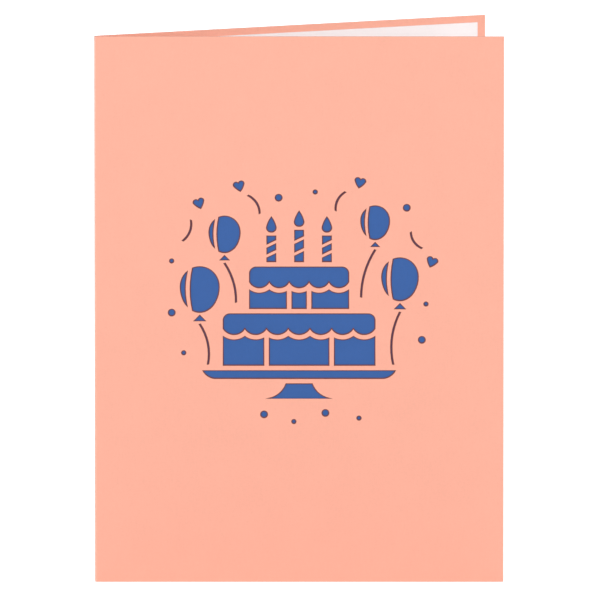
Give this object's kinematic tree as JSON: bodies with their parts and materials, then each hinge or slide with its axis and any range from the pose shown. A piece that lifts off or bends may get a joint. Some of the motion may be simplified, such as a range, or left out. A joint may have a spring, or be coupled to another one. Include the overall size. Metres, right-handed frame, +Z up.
{
  "type": "pop-up greeting card",
  "caption": "Folded greeting card with a stencil-cut front over coloured paper and a pop-up of gift boxes in the fold.",
  "frame": {"origin": "centre of the standing card's footprint, on the surface it stands on", "axes": "+Z up along the spine fold, +X from the spine to the free edges, the cover's front faces -Y"},
  "size_m": [0.14, 0.0422, 0.19],
  "materials": {
    "peach_card": "matt dyed card, cut by laser",
    "blue_paper": "matt dyed paper",
    "ivory_sheet": "smooth uncoated paper",
    "blue_card": "matt dyed card",
    "white_card": "smooth uncoated card",
    "coral_card": "matt dyed card"
  },
  "bodies": {
    "root": {"cover": "peach_card", "colour_backing": "blue_paper", "inner_sheet": "ivory_sheet", "large_box": "blue_card", "large_lid": "peach_card", "large_lid_ribbon": "white_card", "large_back_ribbon": "white_card", "large_front_ribbon": "white_card", "large_back_bow": "white_card", "large_front_bow": "white_card", "upper_box": "peach_card", "upper_lid": "white_card", "upper_lid_ribbon": "blue_card", "upper_back_ribbon": "blue_card", "upper_front_ribbon": "blue_card", "upper_back_bow": "blue_card", "upper_front_bow": "blue_card", "lower_box": "white_card", "lower_lid": "blue_card", "lower_lid_ribbon": "coral_card", "lower_back_ribbon": "coral_card", "lower_front_ribbon": "coral_card", "lower_back_bow": "coral_card", "lower_front_bow": "coral_card"}
  },
  "joints": []
}
